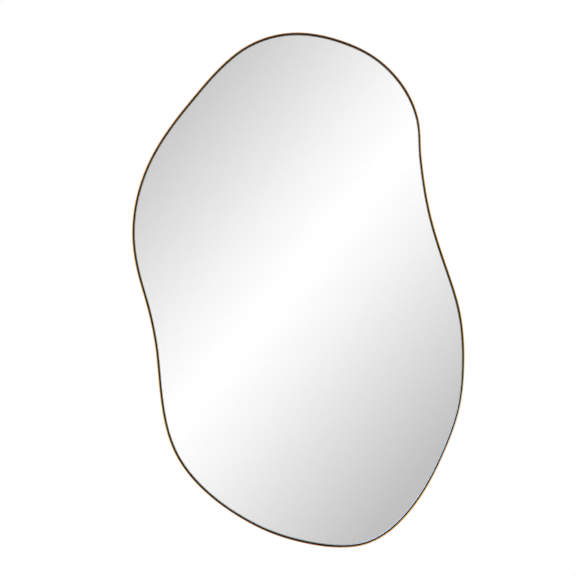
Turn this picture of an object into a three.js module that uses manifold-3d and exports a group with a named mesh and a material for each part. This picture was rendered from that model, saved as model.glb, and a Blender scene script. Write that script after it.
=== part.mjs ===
// An irregular wall mirror. A thin metal rim is bent round a free outline, the glass floats
// inside it with a narrow shadow gap, and a black backing board carries the hangers.
// Millimetres. +X is to the right, +Z up and +Y into the wall. The wall plane is y = 0, and
// the origin lies on it, behind the middle of the outline.

import * as THREE from 'three';
import { mergeVertices } from 'three/addons/utils/BufferGeometryUtils.js';
import Module from 'manifold-3d';

// ---- Driving dimensions -------------------------------------------------------------------

const mirrorWidth = 656;
const mirrorHeight = 1016;

const rimThickness = 2; // of the flat bar, seen from the front
const rimDepth = 25; // of the flat bar, from front to back

const glassThickness = 4;
const glassSetback = 4; // glass face behind the rim's front edge
const glassReveal = 2.1; // shadow gap between the rim and the edge of the glass
const arris = 1; // polished bevel round both faces of the glass
const silverThickness = 0.2;
const filmThickness = 0.3;

const tapeCount = 5;
const tapeThickness = 1.6;
const tapeWidth = 25;
const tapeMargin = 45; // from the ends of a strip to the edge of the glass
const tapeEndMargin = 110; // from the outer strips to the top and the bottom

const sealWidth = 6; // of the foam strip that closes the shadow gap from behind
const sealClearance = 0.05; // to the rim

const boardThickness = 9;
const boardClearance = 0.5; // all round, inside the rim

const lugCount = 8;
const lugWidth = 20;
const lugFoot = 16; // reach over the board
const lugThickness = 1.5;
const lugBend = 2.2; // outside radius of the bend
const lugRearMargin = 0.9; // lug's upright leg ends this far inside the rim's rear edge
const weldGap = 0.3;

const screwDiameter = 3;
const screwHeadDiameter = 6.5;
const screwHeadHeight = 2;
const screwHeadSide = 0.9; // height of the head's straight side
const screwCrown = [2.6, 1.7]; // radius and height at which the head's dome turns over
const screwTop = 1.15; // radius of the flat top of the head
const screwPoint = 2.5; // length of the tapered tip
const screwTip = 0.3; // radius of the blunt end
const screwCover = 1.5; // board left in front of the screw's tip
const pilotClearance = 0.3; // pilot holes round the screws, on radius and in depth
const passClearance = 0.4; // holes through lugs and straps, on radius
const drillOvershoot = 1; // past both faces of a sheet

const hangerHeight = 250; // ring pivots above the middle of the outline
const hangerSpan = 320;
const strapWidth = 15;
const strapSheet = 1; // sheet thickness; the strap is two layers
const strapEnd = 7; // from the last screw to the end of the strap
const strapScrewStart = 9; // from the ring pivot to the first screw
const strapScrewPitch = 15;
const ringWire = 3;
const ringInnerWidth = 20;
const ringInnerHeight = 14;
const ringCorner = 3; // centreline radius of the D's corners
const ringClearance = 0.2; // between the ring's bar and the strap's eye, on radius
const ringRest = 0.3; // between the stored ring and the board

const bumperCount = 4;
const bumperDiameter = 16;
const bumperInset = 30; // from the rim to the bumper's middle
const bumperEdge = 1.2; // rounding of the bumper's rear edge
const wallGap = 1.5; // the bumpers hold the rim this far off the wall

// The outline's turning points, clockwise from the top as seen from the front: x, z and the
// heading in degrees, on a drawing whose size is that of its own extremes.
const outlineTurns = [
  [-2, 508, 0],
  [78, 494.5, -17.5],
  [165, 450, -39.5],
  [237, 339, -76.5],
  [243.5, 262, -84],
  [261, 152, -77],
  [297, 35, -71],
  [323, -60, -81.5],
  [328, -133, -90],
  [320, -228, -101.5],
  [292, -312, -113],
  [226, -430, -128],
  [141, -499, -159],
  [84, -508, 180],
  [0, -496.5, 166.5],
  [-90, -463, 152],
  [-169, -411, 140.5],
  [-241, -327, 118],
  [-271.5, -218, 97.5],
  [-280, -132, 96],
  [-308, -1, 107],
  [-328, 113, 90],
  [-301, 240, 67],
  [-217, 369, 50.5],
  [-125, 466, 38],
];

const outlineSteps = 200;
const noseSteps = 4; // facets of the rim's rounded front edge
const bendSteps = 3; // facets of the lug's bend and of the bumper's rounded edge
const roundSteps = 12; // facets of screws and holes
const wireSteps = 8;
const bowSteps = 5; // the D-ring's arcs have twice as many facets
const bumperSteps = 24;

// ---- The stack, from the wall forward -------------------------------------------------------

const rimRear = -wallGap;
const rimFront = rimRear - rimDepth;
const glassFront = rimFront + glassSetback;
const glassRear = glassFront + glassThickness;
const silverRear = glassRear + silverThickness;
const filmRear = silverRear + filmThickness;
const boardFront = filmRear + tapeThickness;
const boardRear = boardFront + boardThickness;

const glassInset = rimThickness + glassReveal;
const boardInset = rimThickness + boardClearance;

// ---- Materials ------------------------------------------------------------------------------

const finish = (name, color, roughness, metalness) =>
  new THREE.MeshStandardMaterial({ name, color, roughness, metalness });

const brass = finish('aged brass', 0xa8834a, 0.32, 1);
const glass = finish('mirror glass', 0xd9dbda, 0.03, 0);
const silver = finish('silver coat', 0xe4e5e3, 0.08, 1);
const film = finish('safety film', 0x8e9aa3, 0.55, 0);
const foam = finish('foam tape', 0xe6e4dc, 0.9, 0);
const board = finish('black board', 0x1c1b1a, 0.75, 0);
const zinc = finish('zinc plate', 0xb9bcbd, 0.38, 1);
const darkFoam = finish('black foam', 0x161616, 0.95, 0);
const rubber = finish('black rubber', 0x232325, 0.85, 0);

// ---- The outline ----------------------------------------------------------------------------

// Handle length of a smooth span between two headings, after Hobby, as a share of the chord.
function handleShare(turn, other) {
  const bias = (Math.sin(turn) - Math.sin(other) / 16) * (Math.sin(other) - Math.sin(turn) / 16);
  const pull = Math.SQRT2 * bias * (Math.cos(turn) - Math.cos(other));
  const root = Math.sqrt(5);
  const bend = 1 + ((root - 1) * Math.cos(turn) + (3 - root) * Math.cos(other)) / 2;
  return (2 + pull) / (3 * bend);
}

function drawOutline() {
  const xs = outlineTurns.map(([x]) => x);
  const zs = outlineTurns.map(([, z]) => z);
  const width = Math.max(...xs) - Math.min(...xs);
  const height = Math.max(...zs) - Math.min(...zs);
  const middle = new THREE.Vector2(Math.max(...xs) - width / 2, Math.max(...zs) - height / 2);
  const scale = new THREE.Vector2(mirrorWidth / width, mirrorHeight / height);
  const place = (point) => point.clone().sub(middle).multiply(scale);

  const turns = outlineTurns.map(([x, z, degrees]) => ({
    point: new THREE.Vector2(x, z),
    heading: THREE.MathUtils.degToRad(degrees),
  }));
  const outline = new THREE.CurvePath();
  turns.forEach((from, i) => {
    const to = turns[(i + 1) % turns.length];
    const chord = to.point.clone().sub(from.point);
    const turnOut = from.heading - chord.angle();
    const turnIn = chord.angle() - to.heading;
    const handle = (heading, share) =>
      new THREE.Vector2(Math.cos(heading), Math.sin(heading)).multiplyScalar(share * chord.length());
    const leave = from.point.clone().add(handle(from.heading, handleShare(turnOut, turnIn)));
    const arrive = to.point.clone().sub(handle(to.heading, handleShare(turnIn, turnOut)));
    outline.add(new THREE.CubicBezierCurve(...[from.point, leave, arrive, to.point].map(place)));
  });
  return outline;
}

const outline = drawOutline();

// A place on the outline, a share of the way round from the top, moved inward by inset.
function outlinePlace(share, inset = 0) {
  const point = outline.getPointAt(share);
  const heading = outline.getTangentAt(share);
  const outward = new THREE.Vector2(-heading.y, heading.x);
  return { point: point.addScaledVector(outward, -inset), outward };
}

const outlineStations = Array.from({ length: outlineSteps }, (_, i) =>
  outlinePlace(i / outlineSteps));

function outlineCentroidX() {
  let area = 0;
  let moment = 0;
  outlineStations.forEach(({ point }, i) => {
    const next = outlineStations[(i + 1) % outlineSteps].point;
    const slice = point.cross(next);
    area += slice;
    moment += slice * (point.x + next.x);
  });
  return moment / (3 * area);
}

// Left and right limits of the outline at a height, moved inward by margin.
function outlineSpan(z, margin) {
  const crossings = outlineStations.flatMap(({ point }, i) => {
    const next = outlineStations[(i + 1) % outlineSteps].point;
    const crosses = (point.y - z) * (next.y - z) <= 0 && point.y !== next.y;
    return crosses ? [point.x + ((next.x - point.x) * (z - point.y)) / (next.y - point.y)] : [];
  });
  return [Math.min(...crossings) + margin, Math.max(...crossings) - margin];
}

// ---- Solids ---------------------------------------------------------------------------------

function closedGeometry(positions, indices) {
  const geometry = new THREE.BufferGeometry();
  geometry.setAttribute('position', new THREE.Float32BufferAttribute(positions, 3));
  geometry.setIndex(indices);
  return geometry;
}

// One ring of points per (inset, y) pair, each a copy of the stations moved inward by inset.
const ringPositions = (stations, rings) =>
  rings.flatMap(([inset, y]) =>
    stations.flatMap(({ point, outward }) => {
      const moved = point.clone().addScaledVector(outward, -inset);
      return [moved.x, y, moved.y];
    }));

// Quads between neighbouring rings. The stations run clockwise seen from the front.
function bandIndices(count, from, to) {
  const indices = [];
  for (let i = 0; i < count; i++) {
    const next = (i + 1) % count;
    const [a, b, c, d] = [from * count + i, from * count + next, to * count + next, to * count + i];
    indices.push(a, b, c, a, c, d);
  }
  return indices;
}

// A section of (inset, y) corners, carried round a closed line: a hoop.
function hoop(stations, section) {
  const bands = section.flatMap((_, i) =>
    bandIndices(stations.length, i, (i + 1) % section.length));
  return closedGeometry(ringPositions(stations, section), bands);
}

// A solid plate: rings from its front face to its rear face, each end closed flat.
function plate(stations, rings) {
  const count = stations.length;
  const bands = rings.slice(1).flatMap((_, i) => bandIndices(count, i, i + 1));
  const flat = stations.map(({ point }) => point);
  const caps = THREE.ShapeUtils.triangulateShape(flat, []).flatMap(([a, b, c]) => {
    const rear = (rings.length - 1) * count;
    return [a, b, c, rear + a, rear + c, rear + b];
  });
  return closedGeometry(ringPositions(stations, rings), [...bands, ...caps]);
}

const plain = (inset, front, rear) => plate(outlineStations, [[inset, front], [inset, rear]]);

// Quarter turns and half turns as points: centre, radius, and the angles it runs between.
function arc([x, y], radius, startDegrees, endDegrees, steps) {
  return Array.from({ length: steps + 1 }, (_, i) => {
    const angle = THREE.MathUtils.degToRad(startDegrees + ((endDegrees - startDegrees) * i) / steps);
    return [x + radius * Math.cos(angle), y + radius * Math.sin(angle)];
  });
}

const wasm = await Module();
wasm.setup();

function toManifold(geometry) {
  const bare = geometry.clone();
  bare.deleteAttribute('normal');
  bare.deleteAttribute('uv');
  const merged = mergeVertices(bare);
  return new wasm.Manifold(new wasm.Mesh({
    numProp: 3,
    vertProperties: new Float32Array(merged.attributes.position.array),
    triVerts: new Uint32Array(merged.index.array),
  }));
}

// Cuts upright round holes, each { x, z, radius, from, to } with from and to along y.
function drill(geometry, holes) {
  const cutters = holes.map(({ x, z, radius, from, to }) => {
    const bit = new THREE.CylinderGeometry(radius, radius, to - from, roundSteps);
    return toManifold(bit.translate(x, (from + to) / 2, z));
  });
  const cut = cutters.reduce((body, bit) => body.subtract(bit), toManifold(geometry)).getMesh();
  return closedGeometry(Array.from(cut.vertProperties), Array.from(cut.triVerts));
}

// A profile of (x, y) corners, drawn out to a width that is centred on z = 0.
function bar(profile, width, holes = []) {
  const shape = new THREE.Shape(profile.map(([x, y]) => new THREE.Vector2(x, y)));
  shape.holes = holes.map((hole) => new THREE.Path(hole.map(([x, y]) => new THREE.Vector2(x, y))));
  const solid = new THREE.ExtrudeGeometry(shape, { depth: width, bevelEnabled: false });
  return solid.translate(0, 0, -width / 2);
}

const turned = (profile, steps) =>
  new THREE.LatheGeometry(profile.map(([r, y]) => new THREE.Vector2(r, y)), steps);

function piece(name, geometry, material, position = [0, 0, 0], turn = 0) {
  const mesh = new THREE.Mesh(geometry, material);
  mesh.name = name;
  mesh.position.set(...position);
  mesh.rotation.y = turn;
  return mesh;
}

// ---- Rim, glass and board -------------------------------------------------------------------

function frameRim() {
  const nose = rimThickness / 2;
  const front = arc([nose, rimFront + nose], nose, 360, 180, noseSteps);
  return piece('frame_rim', hoop(outlineStations, [[rimThickness, rimRear], ...front, [0, rimRear]]),
    brass);
}

function glassPack() {
  const group = new THREE.Group();
  group.add(
    piece('mirror_glass', plate(outlineStations, [
      [glassInset + arris, glassFront],
      [glassInset, glassFront + arris],
      [glassInset, glassRear - arris],
      [glassInset + arris, glassRear],
    ]), glass),
    piece('silver_coat', plain(glassInset + arris, glassRear, silverRear), silver),
    piece('safety_film', plain(glassInset + arris, silverRear, filmRear), film),
  );
  return group;
}

function mountingTapes() {
  const group = new THREE.Group();
  const top = mirrorHeight / 2 - tapeEndMargin;
  for (let i = 0; i < tapeCount; i++) {
    const z = top - (2 * top * i) / (tapeCount - 1);
    const [left, right] = outlineSpan(z, glassInset + tapeMargin);
    const strip = new THREE.BoxGeometry(right - left, tapeThickness, tapeWidth);
    const place = [(left + right) / 2, (filmRear + boardFront) / 2, z];
    group.add(piece(`mounting_tape_${i + 1}`, strip, foam, place));
  }
  return group;
}

// Lies between the film and the board, all round against the rim.
function edgeSeal() {
  const outer = rimThickness + sealClearance;
  const inner = outer + sealWidth;
  const strip = hoop(outlineStations, [
    [inner, boardFront],
    [inner, filmRear],
    [outer, filmRear],
    [outer, boardFront],
  ]);
  return piece('edge_seal', strip, darkFoam);
}

// ---- Screws ---------------------------------------------------------------------------------

const screwBite = boardThickness - screwCover;

// A pan-head screw that stands on y = 0 with its shank along -y, through a plate into the board.
function screw(name, plateThickness, position) {
  const shank = screwDiameter / 2;
  const head = screwHeadDiameter / 2;
  const length = plateThickness + screwBite;
  const profile = [
    [0, -length],
    [screwTip, -length],
    [shank, screwPoint - length],
    [shank, 0],
    [head, 0],
    [head, screwHeadSide],
    screwCrown,
    [screwTop, screwHeadHeight],
    [0, screwHeadHeight],
  ];
  return piece(name, turned(profile, roundSteps), zinc, position);
}

const pilotHole = ({ x, z }) => ({
  x,
  z,
  radius: screwDiameter / 2 + pilotClearance,
  from: boardRear - screwBite - pilotClearance,
  to: boardRear + pilotClearance,
});

const passHole = (sheetThickness) => ({
  radius: screwDiameter / 2 + passClearance,
  from: -drillOvershoot,
  to: sheetThickness + drillOvershoot,
});

// ---- Lugs that hold the board in the rim ------------------------------------------------------

const lugHeight = rimRear - boardRear - lugRearMargin;
const lugHole = lugFoot / 2 + lugThickness / 2; // from the rim to the screw

// Bent tab. Its upright leg is on x = 0, its foot lies on y = 0 and reaches along +x.
function lugGeometry() {
  const inner = lugBend - lugThickness;
  const bend = [lugBend, lugBend];
  const tab = bar([
    [lugFoot, 0],
    [lugFoot, lugThickness],
    ...arc(bend, inner, 270, 180, bendSteps),
    [lugThickness, lugHeight],
    [0, lugHeight],
    ...arc(bend, lugBend, 180, 270, bendSteps),
  ], lugWidth);
  return drill(tab, [{ x: lugHole, z: 0, ...passHole(lugThickness) }]);
}

// How far the rim bends inward over half a lug's width, either way from a place on the outline.
function inwardBend(share) {
  const { point, outward } = outlinePlace(share);
  const reach = lugWidth / 2 / outline.getLength();
  const ends = [share - reach, share + reach].map((end) => outline.getPointAt(end));
  return Math.max(0, ...ends.map((end) => point.clone().sub(end).dot(outward)));
}

const lugs = Array.from({ length: lugCount }, (_, i) => {
  const share = (i + 0.5) / lugCount;
  const { point, outward } = outlinePlace(share, rimThickness + weldGap + inwardBend(share));
  return {
    x: point.x,
    z: point.y,
    turn: Math.atan2(outward.y, -outward.x),
    screw: { x: point.x - outward.x * lugHole, z: point.y - outward.y * lugHole },
  };
});

function panelLugs() {
  const group = new THREE.Group();
  lugs.forEach((lug, i) => {
    const seat = boardRear + lugThickness;
    group.add(
      piece(`panel_lug_${i + 1}`, lugGeometry(), brass, [lug.x, boardRear, lug.z], lug.turn),
      screw(`lug_screw_${i + 1}`, lugThickness, [lug.screw.x, seat, lug.screw.z]),
    );
  });
  return group;
}

// ---- Hangers ----------------------------------------------------------------------------------

const strapThickness = 2 * strapSheet;
const wireRadius = ringWire / 2;
const eyeBore = wireRadius + ringClearance;
const eyeRadius = eyeBore + strapSheet;
const ringReach = ringInnerHeight + ringWire; // from the pivot to the middle of the bow's wire
const ringLean = Math.asin((eyeRadius - wireRadius - ringRest) / ringReach);
const strapLength = strapScrewStart + strapScrewPitch + strapEnd;

const hangers = ['left', 'right'].map((side, i) => ({
  side,
  x: outlineCentroidX() + (i - 0.5) * hangerSpan,
  screws: [
    { level: 'upper', z: hangerHeight - strapScrewStart },
    { level: 'lower', z: hangerHeight - strapScrewStart - strapScrewPitch },
  ],
}));

// Folded strap with the ring's eye round (0, eyeRadius). It reaches along +x, its back on y = 0.
function strapGeometry() {
  const climb = Math.asin((strapThickness - eyeRadius) / eyeRadius);
  const meet = THREE.MathUtils.radToDeg(climb);
  const profile = [
    [strapLength, 0],
    [strapLength, strapThickness],
    ...arc([0, eyeRadius], eyeRadius, meet, 270, 2 * roundSteps),
  ];
  const eye = arc([0, eyeRadius], eyeBore, 0, 360, 2 * roundSteps).slice(1);
  const strap = bar(profile, strapWidth, [eye]);
  const hole = { z: 0, ...passHole(strapThickness) };
  return drill(strap, [
    { ...hole, x: strapScrewStart },
    { ...hole, x: strapScrewStart + strapScrewPitch },
  ]);
}

// D-ring with its bar on the X axis and its bow above it.
function ringGeometry() {
  const half = ringInnerWidth / 2 + wireRadius;
  const bowBase = ringReach - half;
  const line = new THREE.Path();
  line.moveTo(ringCorner - half, 0);
  line.absarc(ringCorner - half, ringCorner, ringCorner, -Math.PI / 2, Math.PI, true);
  line.absarc(0, bowBase, half, Math.PI, 0, true);
  line.absarc(half - ringCorner, ringCorner, ringCorner, 0, -Math.PI / 2, true);
  line.closePath();
  const points = line.getPoints(bowSteps).slice(0, -1);
  const stations = points.map((point, i) => {
    const before = points[(i + points.length - 1) % points.length];
    const after = points[(i + 1) % points.length];
    const heading = after.clone().sub(before).normalize();
    return { point, outward: new THREE.Vector2(-heading.y, heading.x) };
  });
  return hoop(stations, arc([0, 0], wireRadius, 360, 0, wireSteps).slice(1));
}

function wallHangers() {
  const group = new THREE.Group();
  hangers.forEach(({ side, x, screws }) => {
    const ring = piece(`hanger_ring_${side}`, ringGeometry(), zinc,
      [x, boardRear + eyeRadius, hangerHeight]);
    ring.rotation.x = ringLean;
    group.add(
      piece(`hanger_strap_${side}`, strapGeometry(), zinc, [x, boardRear, hangerHeight], Math.PI / 2),
      ring,
      ...screws.map(({ level, z }) =>
        screw(`hanger_screw_${side}_${level}`, strapThickness, [x, boardRear + strapThickness, z])),
    );
  });
  return group;
}

// ---- Board and bumpers ------------------------------------------------------------------------

function backingBoard() {
  const screws = [
    ...lugs.map((lug) => lug.screw),
    ...hangers.flatMap(({ x, screws: levels }) => levels.map(({ z }) => ({ x, z }))),
  ];
  const solid = drill(plain(boardInset, boardFront, boardRear), screws.map(pilotHole));
  return piece('backing_board', solid, board);
}

function wallBumpers() {
  const group = new THREE.Group();
  const height = -boardRear;
  const radius = bumperDiameter / 2;
  const profile = [
    [0, 0],
    [radius, 0],
    ...arc([radius - bumperEdge, height - bumperEdge], bumperEdge, 0, 90, bendSteps),
    [0, height],
  ];
  for (let i = 0; i < bumperCount; i++) {
    const { point } = outlinePlace((i + 0.5) / bumperCount, rimThickness + bumperInset);
    group.add(piece(`wall_bumper_${i + 1}`, turned(profile, bumperSteps), rubber,
      [point.x, boardRear, point.y]));
  }
  return group;
}

// ---- The mirror -------------------------------------------------------------------------------

const mirror = new THREE.Group();
mirror.add(
  frameRim(),
  glassPack(),
  mountingTapes(),
  edgeSeal(),
  backingBoard(),
  panelLugs(),
  wallHangers(),
  wallBumpers(),
);

export default mirror;
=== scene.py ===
import math
import random
import bpy
import bmesh
from mathutils import Matrix, Vector
from mathutils.kdtree import KDTree


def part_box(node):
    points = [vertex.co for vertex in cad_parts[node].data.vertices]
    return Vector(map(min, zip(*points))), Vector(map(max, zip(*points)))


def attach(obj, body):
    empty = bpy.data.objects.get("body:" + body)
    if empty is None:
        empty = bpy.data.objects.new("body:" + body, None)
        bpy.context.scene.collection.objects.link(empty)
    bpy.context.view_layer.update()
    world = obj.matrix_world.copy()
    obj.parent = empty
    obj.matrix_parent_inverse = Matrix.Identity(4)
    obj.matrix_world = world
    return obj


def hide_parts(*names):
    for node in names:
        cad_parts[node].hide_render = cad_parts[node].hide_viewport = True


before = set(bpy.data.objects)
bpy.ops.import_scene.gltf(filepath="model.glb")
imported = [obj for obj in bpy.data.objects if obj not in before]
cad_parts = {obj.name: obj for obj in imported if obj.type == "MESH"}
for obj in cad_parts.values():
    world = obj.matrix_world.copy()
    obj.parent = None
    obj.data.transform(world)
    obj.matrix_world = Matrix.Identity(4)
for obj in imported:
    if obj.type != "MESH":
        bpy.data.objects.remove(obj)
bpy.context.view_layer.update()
mm = 0.001


# Camera: square on to the glass, placed as in the photograph

cameraRig = {
    "mirrorInPhoto": 515.3,  # height of the mirror in photo pixels
    "photoSize": 576,
    "mirrorMiddle": (298.3, 290.05),  # in photo pixels
    "photoMiddle": (288, 288),
    "lens": 135,  # long, as the rim's inner wall hardly shows
    "sensor": 36,
}


def placeCamera(rig):
    low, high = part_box("frame_rim")
    pixel = (high[2] - low[2]) / rig["mirrorInPhoto"]
    distance = rig["photoSize"] * pixel * rig["lens"] / rig["sensor"]
    across = (rig["photoMiddle"][0] - rig["mirrorMiddle"][0]) * pixel
    above = (rig["mirrorMiddle"][1] - rig["photoMiddle"][1]) * pixel
    lens = bpy.data.cameras.new("photoCamera")
    lens.lens = rig["lens"]
    lens.sensor_width = rig["sensor"]
    camera = bpy.data.objects.new("photoCamera", lens)
    camera.location = (across, low[1] - distance, above)
    camera.rotation_euler = (math.pi / 2, 0, 0)
    bpy.context.collection.objects.link(camera)
    bpy.context.scene.camera = camera
    return distance


cameraDistance = placeCamera(cameraRig)
print("camera placed %.2f m in front of the rim" % cameraDistance)


# Node helpers

def addNode(tree, kind, inputs=None, **settings):
    node = tree.nodes.new(kind)
    for name, value in settings.items():
        setattr(node, name, value)
    for name, value in (inputs or {}).items():
        if isinstance(value, bpy.types.NodeSocket):
            tree.links.new(value, node.inputs[name])
        else:
            node.inputs[name].default_value = value
    return node


def addMath(tree, operation, *values, clamp=False):
    inputs = dict(enumerate(values))
    made = addNode(tree, "ShaderNodeMath", inputs, operation=operation, use_clamp=clamp)
    return made.outputs[0]


def addDot(tree, vector, axis):
    inputs = {0: vector, 1: axis}
    made = addNode(tree, "ShaderNodeVectorMath", inputs, operation="DOT_PRODUCT")
    return made.outputs["Value"]


def addBlend(tree, factor, first, second):
    inputs = {0: factor, 6: first, 7: second}
    return addNode(tree, "ShaderNodeMix", inputs, data_type="RGBA").outputs[2]


def addTouch(tree, mask, share, tone, touch):  # blends to the touch by a share of the mask
    return addBlend(tree, addMath(tree, "MULTIPLY", mask, share), tone, touch)


def addFade(tree, value, start, end):  # 0 before start, 1 past end, smooth between
    return addNode(tree, "ShaderNodeMapRange", {0: value, 1: start, 2: end},
                   interpolation_type="SMOOTHSTEP").outputs[0]


def addRamp(tree, factor, stops):
    ramp = addNode(tree, "ShaderNodeValToRGB", {0: factor})
    elements = ramp.color_ramp.elements
    while len(elements) < len(stops):
        elements.new(0.5)
    for element, (position, tone) in zip(elements, stops):
        element.position = position
        element.color = (tone, tone, tone, 1) if isinstance(tone, float) else (*tone, 1)
    return ramp.outputs[0]


def addStored(tree, label):  # an attribute that the mesh carries
    return addNode(tree, "ShaderNodeAttribute", attribute_name=label).outputs


def newGroup(name, inputs, outputs):
    tree = bpy.data.node_groups.new(name, "ShaderNodeTree")
    for label, value in inputs.items():
        kind = "NodeSocketVector" if value is None else "NodeSocketFloat"
        socket = tree.interface.new_socket(name=label, in_out="INPUT", socket_type=kind)
        if value is not None:
            socket.default_value = value
    for label in outputs:
        tree.interface.new_socket(name=label, in_out="OUTPUT", socket_type="NodeSocketFloat")
    return tree, tree.nodes.new("NodeGroupInput").outputs, tree.nodes.new("NodeGroupOutput").inputs


def useGroup(tree, group, **inputs):
    return addNode(tree, "ShaderNodeGroup", inputs, node_tree=group).outputs


# Effects that several finishes share

effectLook = {
    "grainGain": (2.4, -0.7),  # contrast and offset of the drawn lines
    "scratchTurns": ((0.3, 0.6, 0.2), (1.2, 0.4, 2.1), (0.5, 1.4, 0.9)),
    "scratchStretch": (16, 1, 1),
    "patchScale": 0.7,  # of the scratches' own scale
    "patchEdge": (0.56, 0.68),
    "wearLift": 0.75,  # how much nearness to an edge adds
    "wearEdge": (0.98, 1.14),
}


def makeToneDrift():  # slow, cloudy change of tone
    tree, given, result = newGroup(
        "toneDrift", {"Vector": None, "Scale": 8.0, "Contrast": 1.0}, ["Drift"])
    clouds = addNode(tree, "ShaderNodeTexNoise", {
        "Vector": given["Vector"], "Scale": given["Scale"], "Detail": 4.0, "Roughness": 0.55})
    centred = addMath(tree, "SUBTRACT", clouds.outputs["Fac"], 0.5)
    spread = addMath(tree, "MULTIPLY_ADD", centred, given["Contrast"], 0.5, clamp=True)
    tree.links.new(spread, result["Drift"])
    return tree


def makeDrawnGrain(look):  # fine lines along X and Y, close together along Z
    tree, given, result = newGroup(
        "drawnGrain", {"Vector": None, "Lines": 900.0, "Run": 14.0}, ["Grain", "Height"])
    stretch = addNode(tree, "ShaderNodeCombineXYZ", {
        "X": given["Run"], "Y": given["Run"], "Z": given["Lines"]})
    drawn = addNode(tree, "ShaderNodeVectorMath", {
        0: given["Vector"], 1: stretch.outputs[0]}, operation="MULTIPLY")
    lines = addNode(tree, "ShaderNodeTexNoise", {
        "Vector": drawn.outputs[0], "Scale": 1.0, "Detail": 5.0, "Roughness": 0.7})
    height = lines.outputs["Fac"]
    grain = addMath(tree, "MULTIPLY_ADD", height, *look["grainGain"], clamp=True)
    tree.links.new(grain, result["Grain"])
    tree.links.new(height, result["Height"])
    return tree


def makeFineScratches(look):  # thin rubs, nearly straight, broken up in patches
    tree, given, result = newGroup(
        "fineScratches", {"Vector": None, "Scale": 60.0, "Width": 0.004}, ["Mask"])
    marks = []
    for turn in look["scratchTurns"]:
        inputs = {"Vector": given["Vector"], "Rotation": turn, "Scale": look["scratchStretch"]}
        drawn = addNode(tree, "ShaderNodeMapping", inputs, vector_type="TEXTURE")
        waves = addNode(tree, "ShaderNodeTexNoise", {
            "Vector": drawn.outputs[0], "Scale": given["Scale"], "Detail": 1.0})
        centred = addMath(tree, "SUBTRACT", waves.outputs["Fac"], 0.5)
        fromLine = addMath(tree, "ABSOLUTE", centred)
        marks.append(addMath(tree, "LESS_THAN", fromLine, given["Width"]))
    patches = addNode(tree, "ShaderNodeTexNoise", {
        "Vector": given["Vector"],
        "Scale": addMath(tree, "MULTIPLY", given["Scale"], look["patchScale"])})
    broken = addFade(tree, patches.outputs["Fac"], *look["patchEdge"])
    both = addMath(tree, "MAXIMUM", addMath(tree, "MAXIMUM", marks[0], marks[1]), marks[2])
    tree.links.new(addMath(tree, "MULTIPLY", both, broken), result["Mask"])
    return tree


def makeFineSkin():  # sprayed paint, foam or moulded rubber close up
    tree, given, result = newGroup(
        "fineSkin", {"Vector": None, "Scale": 900.0, "Speck": 0.16}, ["Height", "Specks"])
    peel = addNode(tree, "ShaderNodeTexNoise", {
        "Vector": given["Vector"], "Scale": given["Scale"], "Detail": 3.0, "Roughness": 0.55})
    pits = addNode(tree, "ShaderNodeTexVoronoi", {
        "Vector": given["Vector"], "Scale": given["Scale"]})
    specks = addMath(tree, "LESS_THAN", pits.outputs["Distance"], given["Speck"])
    tree.links.new(peel.outputs["Fac"], result["Height"])
    tree.links.new(specks, result["Specks"])
    return tree


def makeEdgeWear(look):  # worn corners, from the edgeNear attribute of a piece
    tree, given, result = newGroup(
        "edgeWear", {"Vector": None, "Near": 0.0, "Scale": 120.0, "Amount": 1.0}, ["Mask"])
    rubbed = addNode(tree, "ShaderNodeTexNoise", {
        "Vector": given["Vector"], "Scale": given["Scale"], "Detail": 3.0, "Roughness": 0.65})
    reach = addMath(tree, "MULTIPLY_ADD", given["Near"], look["wearLift"], rubbed.outputs["Fac"])
    worn = addFade(tree, reach, *look["wearEdge"])
    tree.links.new(addMath(tree, "MULTIPLY", worn, given["Amount"]), result["Mask"])
    return tree


toneDrift = makeToneDrift()
drawnGrain = makeDrawnGrain(effectLook)
fineScratches = makeFineScratches(effectLook)
fineSkin = makeFineSkin()
edgeWear = makeEdgeWear(effectLook)


# Finishes

def newFinish(name, **plain):
    material = bpy.data.materials.new(name)
    material.use_nodes = True
    tree = material.node_tree
    surface = tree.nodes["Principled BSDF"].inputs
    for label, value in plain.items():
        surface[label.replace("_", " ")].default_value = value
    place = addNode(tree, "ShaderNodeTexCoord").outputs["Object"]
    return material, tree, surface, place


def addRoughness(tree, surface, mask, swing, least):
    tree.links.new(addMath(tree, "MULTIPLY_ADD", mask, swing, least), surface["Roughness"])


def addBump(tree, surface, height, strength, depth):
    bump = addNode(tree, "ShaderNodeBump", {
        "Height": height, "Strength": strength, "Distance": depth})
    tree.links.new(bump.outputs["Normal"], surface["Normal"])


brassLook = {
    "bright": (0.77, 0.46, 0.135, 1),
    "dull": (0.52, 0.27, 0.08, 1),
    "worn": (0.86, 0.63, 0.30, 1),
    "driftShare": 0.55,
    "grainShare": 0.16,
    "edgeTint": (0.95, 0.74, 0.36, 1),  # keeps the glancing edges yellow
    "shadow": (0.085, 0.038, 0.023, 1),  # painted shade over the inner half of the nose and the inner wall, standing in for the shade of the gap
    "shadowFrom": (1.0 * mm, 2.3 * mm),  # over the nose, from the outer edge
    "paleSheen": (0.62, 0.54, 0.53, 1),  # painted sheen: a pale reflection painted below the bulge on the right
    "paleSheenToward": (0.96, 0, -0.28),
    "paleSheenFrom": (0.345, 0.368),
    "paleSheenShare": 0.75,
    "bareToward": (0.80, 0, -0.60),  # painted light: the painted shade taken off at the lower right, where the key light falls on the inner wall
    "bareFrom": (0.34, 0.40),
    "bareShare": 0.95,
    "seamAt": 0.084,  # the closing weld, ground flush at the foot of the mirror
    "seamWidth": 0.0004,
    "seamBelow": -0.4,
    "seamShare": 0.45,
    "grainRough": (0.10, 0.20),  # swing and least
    "marksRough": 0.2,
    "seamRough": 0.2,
    "bump": (0.10, 0.05 * mm),  # strength and depth
}


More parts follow.
